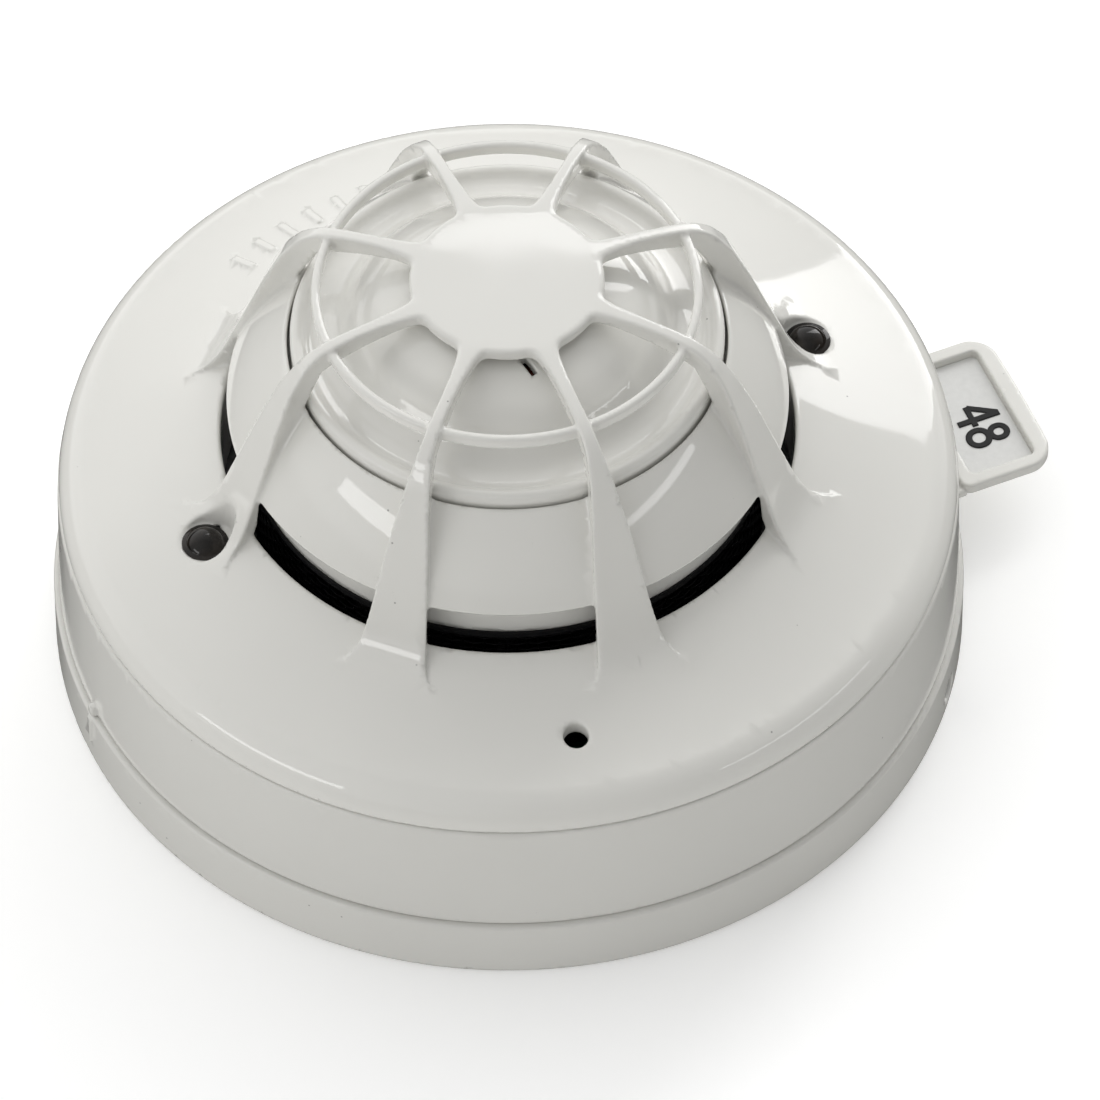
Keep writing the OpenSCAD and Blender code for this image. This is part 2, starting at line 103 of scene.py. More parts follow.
def cut(a, tool, k=0.3):
    """Field a with the tool's shape taken out of it, the rim rounded over about k."""
    return smooth_max(a, -tool, k)


def polar(p):
    """Distance from the axis, and azimuth in degrees."""
    return np.hypot(p[:, 0], p[:, 1]), np.degrees(np.arctan2(p[:, 1], p[:, 0]))


def turned(p, azimuth):
    """Points in axes where +X points along that azimuth."""
    c, s = math.cos(math.radians(azimuth)), math.sin(math.radians(azimuth))
    return np.stack([p[:, 0] * c + p[:, 1] * s, p[:, 1] * c - p[:, 0] * s, p[:, 2]], 1)


def rounded_box(q, low, high, rounding):
    """Box between two corners, in any number of dimensions."""
    low, high = np.array(low, float), np.array(high, float)
    away = np.abs(q - (low + high) / 2) - (high - low) / 2 + rounding
    outside = np.linalg.norm(np.maximum(away, 0), axis=1)
    return outside + np.minimum(away.max(1), 0) - rounding


def ring_piece(p, r_in, r_out, z0, z1, az0, az1, rounding=0.15):
    """Part of a ring between two azimuths."""
    r, az = polar(p)
    middle = (az0 + az1) / 2
    along = np.radians((az - middle + 180) % 360 - 180) * (r_in + r_out) / 2
    reach = math.radians(az1 - az0) / 2 * (r_in + r_out) / 2
    return rounded_box(np.stack([r, along, p[:, 2]], 1), (r_in, -reach, z0), (r_out, reach, z1), rounding)


def cylinder(p, azimuth, at, radius, z0, z1, rounding=0.1):
    """Upright cylinder whose centre is at that azimuth and distance from the axis."""
    q = turned(p, azimuth)
    r = np.hypot(q[:, 0] - at, q[:, 1])
    return rounded_box(np.stack([r, q[:, 2]], 1), (-radius, z0), (radius, z1), rounding)


def curve(points, per_span=10):
    """Smooth open curve through the points."""
    p = np.array(points, float)
    p = np.vstack([2 * p[0] - p[1], p, 2 * p[-1] - p[-2]])
    t = np.linspace(0, 1, per_span, endpoint=False)[:, None]
    out = []
    for a, b, c, d in zip(p, p[1:], p[2:], p[3:]):
        square = (2 * a - 5 * b + 4 * c - d) * t ** 2
        cube = (3 * b - a - 3 * c + d) * t ** 3
        out.append(0.5 * (2 * b + (c - a) * t + square + cube))
    return np.vstack(out + [p[-2:-1]])


def arc(centre, radius, start, end, steps):
    """Points of an arc between two angles in degrees."""
    angles = np.radians(np.linspace(start, end, steps))
    return np.stack([centre[0] + radius * np.cos(angles), centre[1] + radius * np.sin(angles)], 1)


def softened(table, reach=2):
    """Table averaged over its neighbours, which rounds the shape's corners and keeps its faces in place."""
    for axis in (0, 1):
        sides = [(reach, reach) if i == axis else (0, 0) for i in (0, 1)]
        padded = np.pad(table, sides, mode="reflect", reflect_type="odd")
        count = table.shape[axis]
        shifted = [padded.take(range(i, i + count), axis) for i in range(2 * reach + 1)]
        table = sum(shifted) / len(shifted)
    return table


def profile(outline, margin=2.5, step=0.1):
    """Distance to a closed outline of (radius, height) points.

    It is kept as a fine table that is read between its samples.
    """
    points = np.array(outline, float)
    low = points.min(0) - margin
    count = np.ceil((points.max(0) + margin - low) / step).astype(int) + 2
    x = low[0] + step * np.arange(count[0])
    z = low[1] + step * np.arange(count[1])
    q = np.stack(np.meshgrid(x, z, indexing="ij"), -1).reshape(-1, 2)
    nearest = np.full(len(q), np.inf)
    inside = np.zeros(len(q), bool)
    for a, b in zip(points, np.roll(points, -1, 0)):
        edge = b - a
        if edge @ edge < 1e-12:
            continue
        t = np.clip((q - a) @ edge / (edge @ edge), 0, 1)
        nearest = np.minimum(nearest, ((q - a - t[:, None] * edge) ** 2).sum(1))
        if a[1] != b[1]:
            spans = (a[1] > q[:, 1]) != (b[1] > q[:, 1])
            inside ^= spans & (q[:, 0] < a[0] + edge[0] * (q[:, 1] - a[1]) / edge[1])
    table = softened((np.sqrt(nearest) * np.where(inside, -1, 1)).reshape(count))

    def distance(radius, height):
        fx = (radius - low[0]) / step
        fz = (height - low[1]) / step
        cx = np.clip(fx, 0, count[0] - 1.001)
        cz = np.clip(fz, 0, count[1] - 1.001)
        i, j = cx.astype(int), cz.astype(int)
        u, v = cx - i, cz - j
        lower = table[i, j] * (1 - u) + table[i + 1, j] * u
        upper = table[i, j + 1] * (1 - u) + table[i + 1, j + 1] * u
        return lower * (1 - v) + upper * v + np.hypot(fx - cx, fz - cz) * step

    return distance


# ---------------------------------------------------------------- meshes from fields

# Cells along one side of a block of the grid
BLOCK = 4
# How far flat parts may be meshed more coarsely, from 0 to 1
FLATTEN = 0.05
# Cosine between the directions of two neighbouring points under which an edge runs between them
BENT = 0.93
# Distances in millimetres over which the surface's direction is taken, for the edges and for the shading
EDGE_REACH = 0.05
SHADE_REACH = 0.12


def sampled(field, low, high, step):
    """The field on a grid. Only blocks near the surface are worked out finely."""
    blocks = np.ceil((high - low) / (step * BLOCK)).astype(int)
    corner = [low[i] + step * BLOCK * (np.arange(blocks[i]) + 0.5) - step / 2 for i in range(3)]
    centres = np.stack(np.meshgrid(*corner, indexing="ij"), -1)
    coarse = field(centres.reshape(-1, 3)).reshape(blocks)
    grid = np.repeat(np.repeat(np.repeat(coarse, BLOCK, 0), BLOCK, 1), BLOCK, 2).astype(np.float32)
    near = np.argwhere(np.abs(coarse) < step * BLOCK * 1.3)
    inner = np.stack(np.meshgrid(*[np.arange(BLOCK)] * 3, indexing="ij"), -1).reshape(-1, 3)
    for part in np.array_split(near, max(1, len(near) // 8000)):
        index = (part[:, None, :] * BLOCK + inner[None]).reshape(-1, 3)
        grid[index[:, 0], index[:, 1], index[:, 2]] = field(low + step * index)
    return grid


def slope_of(field, p, reach):
    """How the field rises along the three axes."""
    sides = np.eye(3) * reach
    return np.stack([field(p + side) - field(p - side) for side in sides], 1) / (2 * reach)


def directions(field, p, reach):
    """Unit vectors that point straight out of the surface."""
    slope = slope_of(field, p, reach)
    return slope / np.maximum(np.linalg.norm(slope, axis=1), 1e-6)[:, None]


def settled(field, p, step, rounds):
    """Points moved onto the surface."""
    for _ in range(rounds):
        slope = slope_of(field, p, 0.02)
        move = field(p)[:, None] * slope / np.maximum((slope ** 2).sum(1), 0.3)[:, None]
        p = p - np.clip(move, -step, step)
    return p


def sharpened(field, p, step):
    """Points moved to where the faces around them meet, so that edges come out straight."""
    around = [settled(field, p + side * step * 0.6, step, 2) for side in np.vstack([np.eye(3), -np.eye(3)])]
    middle = sum(around) / len(around)
    matrix = np.zeros((len(p), 3, 3)) + 0.15 * np.eye(3)
    vector = np.zeros((len(p), 3))
    for q in around:
        n = directions(field, q, EDGE_REACH)
        matrix += n[:, :, None] * n[:, None, :]
        vector += n * (n * (q - middle)).sum(1)[:, None]
    move = middle + np.linalg.solve(matrix, vector[:, :, None])[:, :, 0] - p
    length = np.linalg.norm(move, axis=1)[:, None]
    return p + move * np.minimum(1, 0.9 * step / np.maximum(length, 1e-9))


def moulding(name, field, low, high, step):
    """Mesh of a field, its points moved onto the surface and its shading taken from the field."""
    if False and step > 0.3:
        step *= 1.7
    low = np.array(low, float) - 3 * step
    high = np.array(high, float) + 3 * step
    volume = openvdb.FloatGrid(1.0)
    volume.copyFromArray(sampled(field, low, high, step))
    volume.transform = openvdb.createLinearTransform(step)
    points, triangles, quads = volume.convertToPolygons(0.0, FLATTEN)
    p = settled(field, points.astype(float) + low, step, 3)
    normals = directions(field, p, EDGE_REACH)
    sides = [np.stack([f[:, i], f[:, i - 1]], 1) for f in (triangles, quads) for i in range(f.shape[1])]
    sides = np.vstack(sides).astype(int)
    bent = (normals[sides[:, 0]] * normals[sides[:, 1]]).sum(1) < BENT
    edge = np.unique(sides[bent])
    if len(edge):
        p[edge] = settled(field, sharpened(field, p[edge], step), step, 2)
    normals = directions(field, p, SHADE_REACH)
    faces = [list(map(int, f)) for f in triangles] + [list(map(int, f)) for f in quads]
    a, b, c = p[faces[0][0]], p[faces[0][1]], p[faces[0][2]]
    if np.cross(b - a, c - a) @ normals[faces[0][0]] < 0:
        faces = [f[::-1] for f in faces]
    mesh = bpy.data.meshes.new(name)
    mesh.from_pydata((p * MM).tolist(), [], faces)
    mesh.validate()
    mesh.shade_smooth()
    mesh.normals_split_custom_set_from_vertices(normals.tolist())
    return place(name, mesh)


def place(name, mesh):
    """New object of the mesh in the scene."""
    piece = bpy.data.objects.new(name, mesh)
    bpy.context.scene.collection.objects.link(piece)
    return piece


def lathe(name, outline, azimuth=0.0, at=0.0, steps=64):
    """Turned piece with a closed outline of (radius, height) points, in millimetres."""
    count = len(outline)
    middle = Vector((at * math.cos(math.radians(azimuth)), at * math.sin(math.radians(azimuth)), 0))
    points = []
    for i in range(steps):
        angle = 2 * math.pi * i / steps
        for r, z in outline:
            points.append((middle + Vector((r * math.cos(angle), r * math.sin(angle), z))) * MM)
    faces = []
    for i in range(steps):
        for j in range(count):
            a, b = i * count, (i + 1) % steps * count
            k = (j + 1) % count
            faces.append((a + j, b + j, b + k, a + k))
    mesh = bpy.data.meshes.new(name)
    mesh.from_pydata(points, [], faces)
    weld(mesh)
    mesh.shade_smooth()
    return place(name, mesh)


def weld(mesh):
    """Merges the points that meet on an axis, and drops what that flattens."""
    work = bmesh.new()
    work.from_mesh(mesh)
    bmesh.ops.remove_doubles(work, verts=work.verts, dist=1e-6)
    bmesh.ops.dissolve_degenerate(work, edges=work.edges, dist=1e-7)
    bmesh.ops.recalc_face_normals(work, faces=work.faces)
    work.to_mesh(mesh)
    work.free()


# ---------------------------------------------------------------- shape of the mouldings

SLOT_R = 31.2
SLOPE_END = 45.3
COVER_T = 2.0
SHOULDER = 3.7
SKIRT_TOP = np.array([24.0, 47.5])
LIP = np.array([30.7, 37.2])
SKIRT_T = 1.4
SKIRT_IN = 23.75
DISC_R = 10.5
LENS_AT = 35.6
LENS_R = 2.15


def ring_height(r):
    """Height of the sloping ring of the cover."""
    return 32.5 - 0.486 * (r - SLOT_R) + 0.00975 * (r - SLOT_R) ** 2


def bowed(depth, bulge=0.6):
    """Arc that lies depth under the skirt's outer face, as a centre and a radius."""
    chord = np.linalg.norm(LIP - SKIRT_TOP)
    radius = chord ** 2 / 8 / bulge + bulge / 2
    out = np.array([SKIRT_TOP[1] - LIP[1], LIP[0] - SKIRT_TOP[0]]) / chord
    return (SKIRT_TOP + LIP) / 2 - out * (radius - bulge), radius - depth


def bowed_arc(depth, r_from=None, r_to=None, z_to=None, z_from=None):
    """Points of that arc between two radii or heights."""
    centre, radius = bowed(depth)
    start = math.acos((r_from - centre[0]) / radius) if r_from else math.asin((z_from - centre[1]) / radius)
    end = math.acos((r_to - centre[0]) / radius) if r_to else math.asin((z_to - centre[1]) / radius)
    return arc(centre, radius, math.degrees(start), math.degrees(end), 24)


def cover_shell_outline():
    """Sloping ring, rounded shoulder and short wall, with the sleeve inside the smoke slot."""
    r = np.linspace(SLOT_R + 0.3, SLOPE_END, 40)
    top = np.stack([r, ring_height(r)], 1)
    below = np.stack([r[::-1], ring_height(r[::-1]) - COVER_T], 1)
    below = below[below[:, 0] > SLOT_R + 1.8]
    end = ring_height(SLOPE_END)
    shoulder = arc((COVER_R - SHOULDER, end - SHOULDER), SHOULDER, 74, 0, 30)
    inner_edge = arc((SLOT_R + 0.35, ring_height(SLOT_R + 0.35) - 0.38), 0.36, 180, 75, 8)
    inside = COVER_R - COVER_T
    foot = CASE_TOP + 0.02
    wall = [(COVER_R, foot), (inside, foot), (inside, end - SHOULDER)]
    sleeve = [(SLOT_R + 1.5, 19.7), (SLOT_R, 19.7)]
    return np.vstack([inner_edge, top, shoulder, wall, below, sleeve])


def skirt_outline():
    """Bowed skirt that hangs under the guard, with a rounded lip."""
    outer = bowed_arc(0, r_from=SKIRT_TOP[0] + 0.2, z_to=LIP[1] + 0.5)
    lip = arc((outer[-1][0] - 0.45, LIP[1] + 0.4), 0.42, 10, -90, 8)
    inner = bowed_arc(SKIRT_T, z_from=LIP[1], r_to=SKIRT_IN)
    edge = [(SKIRT_IN, SKIRT_TOP[1] - 0.1), (SKIRT_IN + 0.15, SKIRT_TOP[1] + 0.12)]
    return np.vstack([edge, outer, lip, inner])


# Outer and inner edge of a rib, as radius and height, and half its width, as radius and width
RIB_OUTER = [(-12, 57.41), (-6, 57.48), (0, 57.5), (6, 57.48), (9.5, 57.44), (10.8, 57.4), (13, 57.2),
             (16, 56.9), (19, 56.4), (21, 55.9), (22.5, 55.2), (24, 53.9), (25, 52.5), (26, 50.9),
             (27, 48.6), (28, 46.2), (29, 43.4), (30, 40.6), (31, 37.9), (32, 35.2), (33, 33.1),
             (34, 31.75), (34.8, 31.05), (35.4, 30.66), (36.2, 30.15), (38, 28.8)]
RIB_INNER = [(38, 28.2), (34, 29.6), (31.6, 31), (30.6, 33.5), (30.3, 36.5), (29.9, 37.6), (28.2, 40.8),
             (25, 45.3), (24.1, 47), (23.85, 48.4), (21.8, 52.6), (20.4, 53.4), (17, 54.5), (13, 55.5),
             (8, 56.2), (-12, 56.2)]
RIB_HALF = [(0, 3.6), (8, 2.7), (9.5, 1.95), (11, 1.35), (13, 0.95), (16, 0.74), (21, 0.76), (23, 0.85),
            (25, 1.2), (27, 1.8), (29, 2.5), (31, 3.1), (33, 3.75), (34, 4.15), (35, 4.8), (36, 5.6),
            (38, 7)]
RIB_DRAFT = 0.09
# Inner and outer radius of the guard's hoop, and its lowest and highest point
HOOP_R = (20.05, 21.05)
HOOP_Z = (54.0, 55.6)
# The small moulded hole near the front edge of the ring
HOLE_AZ = -80.4
HOLE_AT = 40.5
HOLE_R = 1.35
# Floor of the recesses round the indicator domes
RECESS_Z = 29.55

rib_side = profile(np.vstack([curve(RIB_OUTER), RIB_INNER]))
half_curve = curve(RIB_HALF)
cover_shell = profile(cover_shell_outline())
cover_skirt = profile(skirt_outline())


def guard(p):
    """The disc and all the ribs at once, because they repeat round the axis."""
    r, az = polar(p)
    pitch = 360 / RIBS
    turn = np.radians(az % pitch - pitch / 2)
    u, v = r * np.cos(turn), r * np.sin(turn)
    near_disc = np.clip((14 - r) / 3, 0, 1)
    side = rib_side(r * near_disc + u * (1 - near_disc), p[:, 2])
    draft = RIB_DRAFT * np.clip(-side, 0, 3)
    width = (np.abs(v) - np.interp(u, half_curve[:, 0], half_curve[:, 1]) + draft) * 0.93
    return smooth_max(side, smooth_min(width, r - DISC_R, 0.7), 0.4 + 0.3 * near_disc)


def lens_recess(p, azimuth):
    """Flat-bottomed round recess that narrows towards the rib's foot."""
    q = turned(p, azimuth)
    x = q[:, 0] - LENS_AT
    tail = np.abs(q[:, 1]) - np.clip(LENS_R + 0.5 + 0.38 * x, 0.6, None)
    tail = smooth_max(tail, np.abs(x + 1.7) - 1.7, 1.2)
    from_lens = np.hypot(x, q[:, 1])
    plan = smooth_min(from_lens - LENS_R - 0.6, tail, 0.5)
    floor = RECESS_Z - q[:, 2]
    bore = from_lens - LENS_R - 0.15
    return np.minimum(smooth_max(plan, floor, 0.6), np.maximum(bore, 27 - q[:, 2]))


def moulded_marks(p):
    """Row of raised marks on the sloping ring."""
    r, az = polar(p)
    first, pitch, count, at = 103.0, 5.0, 8, 38.6
    nearest = first + pitch * np.clip(np.round((az - first) / pitch), 0, count - 1)
    along = np.radians(az - nearest) * at
    height = p[:, 2] - ring_height(r)
    marks = np.stack([r, along, height], 1)
    return rounded_box(marks, (at - 1.6, -0.45, -0.8), (at + 1.6, 0.45, 0.24), 0.2)


def top_cover(p):
    """Sloping ring with its skirt, guard, marks, lens recesses and small hole."""
    r, _ = polar(p)
    z = p[:, 2]
    d = smooth_min(cover_shell(r, z), moulded_marks(p), 0.25)
    ribs = smooth_min(guard(p), cover_skirt(r, z), 0.6)
    flat = np.stack([r, z], 1)
    hoop = rounded_box(flat, (HOOP_R[0], HOOP_Z[0]), (HOOP_R[1], HOOP_Z[1]), 0.4)
    ribs = smooth_min(ribs, hoop, 0.4)
    d = smooth_min(d, ribs, 0.3)
    for azimuth in LENS_AZ:
        d = cut(d, lens_recess(p, azimuth), 0.4)
    return cut(d, cylinder(p, HOLE_AZ, HOLE_AT, HOLE_R, 20, 40), 0.45)


# Outer face of the bell-shaped cap from its crown to its bead, as radius and height
BELL = [(4, 55.22), (7, 55.2), (9, 55.12), (10.5, 54.8), (12, 54.3), (14, 53.4), (16, 52.0), (17, 50.8),
        (18, 49.45), (19, 48.6), (20, 48.25), (21, 48.2), (21.7, 48.35), (22.3, 48.78), (22.9, 48.9),
        (23.35, 48.6), (23.45, 48.0)]
CAP_T = 1.4


def cap_outline():
    """Bell with its bead, and below it the part that lies under the skirt."""
    under = SKIRT_T + 0.3
    inside = under + CAP_T
    bell = curve(BELL)
    inner_bell = [(r - 0.2, z - CAP_T) for r, z in BELL[::-1] if r < 21]
    outer = bowed_arc(under, r_from=23.45, r_to=28.5)
    inner = bowed_arc(inside, r_from=27.1, r_to=22.05)
    lip = [(28.5, 32.25), (28.25, 32.0), (27.1, 32.0)]
    return np.vstack([[(-6, 55.22)], bell, outer, lip, inner, [(22.05, 46.6)], inner_bell, [(-6, 53.8)]])


cap_profile = profile(cap_outline())


def chamber_cap(p):
    """Bell-shaped cap with the slit that lets air in to the thermistor."""
    r, _ = polar(p)
    q = turned(turned(p, SLIT_AZ) - np.array([SLIT_R, 0, 0]), SLIT_TURN)
    slit = rounded_box(q, (-0.4, -1.2, 50), (0.4, 1.2, 60), 0.1)
    return cut(cap_profile(r, p[:, 2]), slit, 0.15)


BASE_IN = BASE_R - 2.5
CABLE_R = 12.0
FLOOR_T = 2.0
SEAT = BASE_H + 0.03
CARD_Z = 6.0
CARD_HALF = 9.7
CARD_END = 62.1
LOCK_Z = 2.6
LOCK_BORE_R = 1.55
POINTER_AZ = -156.5
# Distances from the axis at which the fixing slots' round ends are centred, and their radius
FIXING_AT = (25.5, 34.5)
FIXING_R = 2.2


def base_outline():
    """Floor, rim and the collar round the cable entry."""
    rim = arc((BASE_R - 0.2, BASE_H - 0.2), 0.2, 0, 90, 6)
    return np.vstack([[(CABLE_R, 0.3), (CABLE_R + 0.3, 0), (BASE_R - 0.35, 0), (BASE_R, 0.35)], rim,
                      [(BASE_IN + 0.3, BASE_H), (BASE_IN, BASE_H - 0.3), (BASE_IN, FLOOR_T + 0.3),
                       (BASE_IN - 0.3, FLOOR_T), (CABLE_R + 1.7, FLOOR_T), (CABLE_R + 1.5, FLOOR_T + 0.2),
                       (CABLE_R + 1.5, 3.3), (CABLE_R + 1.3, 3.5), (CABLE_R + 0.2, 3.5), (CABLE_R, 3.3)]])


def case_outline():
    """Floor and wall of the rear case, with the groove for the seal in its upper edge."""
    top_r = CASE_R - 0.22
    return [(-6, 10.5), (47.1, 10.5), (47.4, 10.2), (47.4, SEAT + 0.2), (47.6, SEAT), (CASE_R, SEAT),
            (top_r, CASE_TOP - 0.12), (top_r - 0.12, CASE_TOP), (48.4, CASE_TOP),
            (48.4, CASE_TOP - 0.6), (47.6, CASE_TOP - 0.6), (47.6, CASE_TOP), (47.2, CASE_TOP),
            (47, CASE_TOP - 0.2), (47, 12.4), (46.6, 12), (-6, 12)]


base_profile = profile(base_outline())
case_profile = profile(case_outline())


def pointer(p, z0, z1, narrow, wide, proud):
    """Wedge that stands proud of the outer wall and goes from narrow at z0 to wide at z1."""
    q = turned(p, POINTER_AZ)
    share = np.clip((p[:, 2] - z0) / (z1 - z0), 0, 1)
    side = np.abs(q[:, 1]) - narrow - (wide - narrow) * share
    ends = np.maximum(z0 - p[:, 2], p[:, 2] - z1)
    r = np.hypot(p[:, 0], p[:, 1])
    wedge = np.maximum(smooth_max(side, ends, 0.2), 47.8 - r)
    face = np.where(q[:, 0] > 0, r, 99) - BASE_R - proud
    return smooth_max(wedge, face, 0.25)


def mounting_base(p):
    """Base with its ledges, terminal pads, card rails and notch, fixing slots and locking screw's bore."""
    r, _ = polar(p)
    d = base_profile(r, p[:, 2])
    for azimuth in LEDGE_AZ:
        d = smooth_min(d, ring_piece(p, 45, BASE_IN + 1, 5.6, 7.2, azimuth - 10.5, azimuth + 8), 0.25)
        d = smooth_min(d, ring_piece(p, 45, BASE_IN + 1, 1, 7.2, azimuth - 10.5, azimuth - 8.5), 0.25)
    for azimuth, at, half in [(a, TERMINAL_AT, 5) for a in TERMINAL_AZ] + [(EARTH_AZ, EARTH_AT, 4.5)]:
        pad = rounded_box(turned(p, azimuth), (at - 4.5, -half, 1), (at + 4.5, half, 4), 0.3)
        d = smooth_min(d, pad, 0.3)
        d = cut(d, cylinder(p, azimuth, at, 1.3, 2.4, 6), 0.15)
    lock = turned(p, LOCK_AZ)
    d = smooth_min(d, rounded_box(lock, (45, -2.8, 1), (BASE_IN + 1, 2.8, LOCK_Z + 2.8), 0.3), 0.3)
    d = np.minimum(d, card_rails(p))
    d = smooth_min(d, pointer(p, 3, BASE_H - 0.35, 0.12, 0.55, 0.28), 0.15)
    card = turned(p, CARD_AZ)
    notch = rounded_box(card, (BASE_IN - 1, -CARD_HALF - 0.3, CARD_Z - 0.3), (60, CARD_HALF + 0.3, 12), 0.2)
    d = cut(d, notch, 0.25)
    across = np.abs(p[:, 1])
    slot = np.stack([p[:, 0], across - np.clip(across, *FIXING_AT)], 1)
    d = cut(d, np.linalg.norm(slot, axis=1) - FIXING_R, 0.3)
    bore = np.hypot(lock[:, 1], lock[:, 2] - LOCK_Z) - LOCK_BORE_R
    return cut(d, np.maximum(bore, 44 - lock[:, 0]), 0.2)


def card_rails(p):
    """Rails that the card slides between, with the lips over it and the ribs under it."""
    q = turned(p, CARD_AZ)
    q[:, 1] = np.abs(q[:, 1])
    wall = rounded_box(q, (31, CARD_HALF + 0.3, 1), (BASE_IN, CARD_HALF + 1.7, 7.5), 0.2)
    low, high = (31, CARD_HALF - 0.7, CARD_Z + 1.1), (BASE_IN - 0.4, CARD_HALF + 0.7, CARD_Z + 1.5)
    lip = rounded_box(q, low, high, 0.15)
    rib = rounded_box(q, (31, CARD_HALF - 2.7, 1), (BASE_IN, CARD_HALF + 0.3, CARD_Z - 0.3), 0.2)
    return smooth_min(smooth_min(wall, lip, 0.15), rib, 0.15)


def detector_case(p):
    """Rear case with its collar, lugs, board posts and the holes for screws and contacts."""
    r, _ = polar(p)
    d = case_profile(r, p[:, 2])
    d = smooth_min(d, ring_piece(p, 42.4, 44.4, 2.6, 11, 40.5, 340.5), 0.3)
    for azimuth in LEDGE_AZ:
        d = smooth_min(d, ring_piece(p, 43.4, 47, 3.4, 5.2, azimuth - 8, azimuth + 8, 0.3), 0.25)
    for azimuth in POST_AZ:
        d = smooth_min(d, cylinder(p, azimuth, POST_AT, 2.6, 11, 15), 0.4)
        d = cut(d, cylinder(p, azimuth, POST_AT, 0.9, 12.5, 17), 0.1)
    for azimuth in BOSS_AZ:
        d = cut(d, cylinder(p, azimuth, BOSS_AT, 1.25, 9, 13), 0.1)
    for azimuth in TERMINAL_AZ:
        d = cut(d, cylinder(p, azimuth + 24, TERMINAL_AT, 1, 9, 13), 0.1)
    return smooth_min(d, pointer(p, SEAT + 0.05, SEAT + 1.4, 0.55, 0.55, 0.1), 0.15)


def address_card(p):
    """Card with the tray of its tab, its raised code pips and the slightly bowed end."""
    q = turned(p, CARD_AZ)
    crown = 0.3 * (q[:, 1] / CARD_HALF) ** 2
    bent = np.stack([q[:, 0] + crown, q[:, 1]], 1)
    plan = rounded_box(bent, (40, -CARD_HALF), (CARD_END, CARD_HALF), 3.1)
    plan = smooth_max(plan, rounded_box(q[:, :2], (50.6, -CARD_HALF), (90, CARD_HALF), 1.3), 0.1)
    plate = smooth_max(plan, np.abs(q[:, 2] - CARD_Z - 0.7) - 0.7, 0.36)
    tray = rounded_box(q[:, :2], (52.2, -8), (60, 8), 0.7)
    plate = cut(plate, smooth_max(tray, CARD_Z + 0.3 - q[:, 2], 0.2), 0.25)
    strip = rounded_box(q, (30, -CARD_HALF, CARD_Z), (51, CARD_HALF, CARD_Z + 0.8), 0.2)
    across = q[:, 1] - 2.5 * np.clip(np.round(q[:, 1] / 2.5), -3, 3)
    pip = np.stack([np.hypot(q[:, 0] - 38, across), q[:, 2]], 1)
    strip = smooth_min(strip, rounded_box(pip, (-0.9, CARD_Z), (0.9, CARD_Z + 1.7), 0.2), 0.2)
    return smooth_min(plate, strip, 0.2)


def bar(q, a, b, stroke):
    """Straight stroke of a digit between two points of the label."""
    start = np.array(a)
    along = np.array(b) - start
    length = np.linalg.norm(along)
    side = np.abs((q - start) @ np.array([-along[1], along[0]])) / length - stroke / 2
    over = np.abs((q - start) @ along / length - length / 2) - length / 2
    return np.maximum(side, over)


def loop(q, centre, half_u, half_v, stroke):
    """Rounded loop of a digit."""
    away = q - np.array(centre)
    outer = rounded_box(away, (-half_u, -half_v), (half_u, half_v), min(half_u, half_v) * 0.98)
    return np.maximum(outer, -outer - stroke)


def address_number(p):
    """The number 48, its digits standing with their tops outwards."""
    q = turned(p, CARD_AZ)
    z0, z1 = box_mm("address_number")[0][2], box_mm("address_number")[1][2]
    plane = q[:, :2]
    upright = bar(plane, (54, -0.5), (59, -0.5), 0.78)
    crossbar = bar(plane, (55.8, 1.55), (55.8, -1.38), 0.7)
    slant = bar(plane, (55.85, 1.4), (58.8, -0.42), 0.72)
    lower = loop(plane, (55.42, -3.03), 1.5, 1.45, 0.75)
    upper = loop(plane, (57.8, -3.03), 1.28, 1.22, 0.72)
    ink = np.minimum.reduce([upright, crossbar, slant, lower, upper])
    return smooth_max(ink, np.abs(q[:, 2] - (z0 + z1) / 2) - (z1 - z0) / 2, 0.05)


def thermistor(p):
    """Glass bead with its tapered ends."""
    q = turned(p, PROBE_AZ)
    along = q[:, 0] - 9.2
    r = np.hypot(q[:, 1], q[:, 2] - 51.5)
    return rounded_box(np.stack([along, r], 1), (-1.2, -1.1), (1.2, 1.1), 0.75)


def lens_outline():
    """Light guide with a stem, a collar that lies on the recess's floor, and a dome."""
    stem = [(0, 17.8), (1.3, 17.8), (1.5, 18), (1.5, 26), (LENS_R, 27), (LENS_R, 29.56)]
    collar = [(2.5, 29.56), (2.56, 29.62), (2.5, 29.7), (LENS_R, 29.74)]
    dome = arc((0, 28.65), 2.35, 29, 90, 24)
    return np.vstack([stem, collar, dome])


